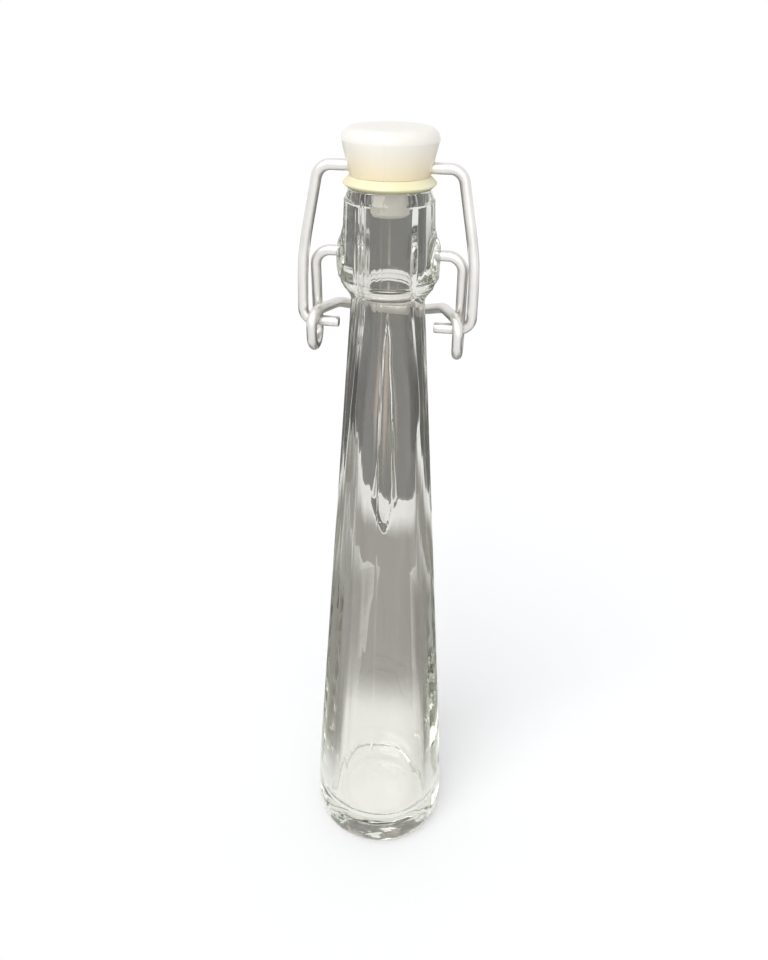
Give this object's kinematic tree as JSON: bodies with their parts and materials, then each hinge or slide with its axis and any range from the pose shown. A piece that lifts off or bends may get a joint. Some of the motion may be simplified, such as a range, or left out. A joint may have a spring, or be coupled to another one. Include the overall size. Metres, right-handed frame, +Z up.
{
  "type": "miniature swing-top liqueur bottle",
  "caption": "Tall tapered clear glass miniature bottle with a thick base and a wire swing-top closure carrying a white stopper and a pale rubber seal.",
  "frame": {"origin": "centre of the standing ring under the base, on the bottle's axis", "axes": "+Z up along the bottle's axis; X along the closure's hinge lines; +Y towards the back, where the lever's crossbar lies behind the neck"},
  "size_m": [0.0378, 0.0356, 0.1883],
  "materials": {
    "glass": "clear flint glass, polished",
    "stopper": "warm white, satin",
    "seal": "pale yellow rubber, matt",
    "bail_wire": "drawn wire, satin",
    "lever_wire": "drawn wire, satin"
  },
  "bodies": {
    "bottle": {"bottle": "glass"},
    "lever": {"lever": "lever_wire"},
    "bail": {"bail": "bail_wire"},
    "stopper": {"stopper": "stopper", "seal": "seal"}
  },
  "joints": [
    {"name": "lever_hinge", "type": "hinge", "parent": "bottle", "child": "lever", "pos_m": [0, 0, 0.1644], "axis": [1, 0, 0], "range_deg": [0, 110]},
    {"name": "bail_hinge", "type": "hinge", "parent": "lever", "child": "bail", "pos_m": [0, -0.002, 0.1499], "axis": [1, 0, 0], "range_deg": [-64, 0]},
    {"name": "stopper_hinge", "type": "hinge", "parent": "bail", "child": "stopper", "pos_m": [0, 0, 0.181], "axis": [1, 0, 0], "range_deg": [-46.5, 0]}
  ],
  "couplings": [
    {"joint": "bail_hinge", "follows": "lever_hinge", "ratio": -0.58},
    {"joint": "stopper_hinge", "follows": "lever_hinge", "ratio": -0.42}
  ]
}
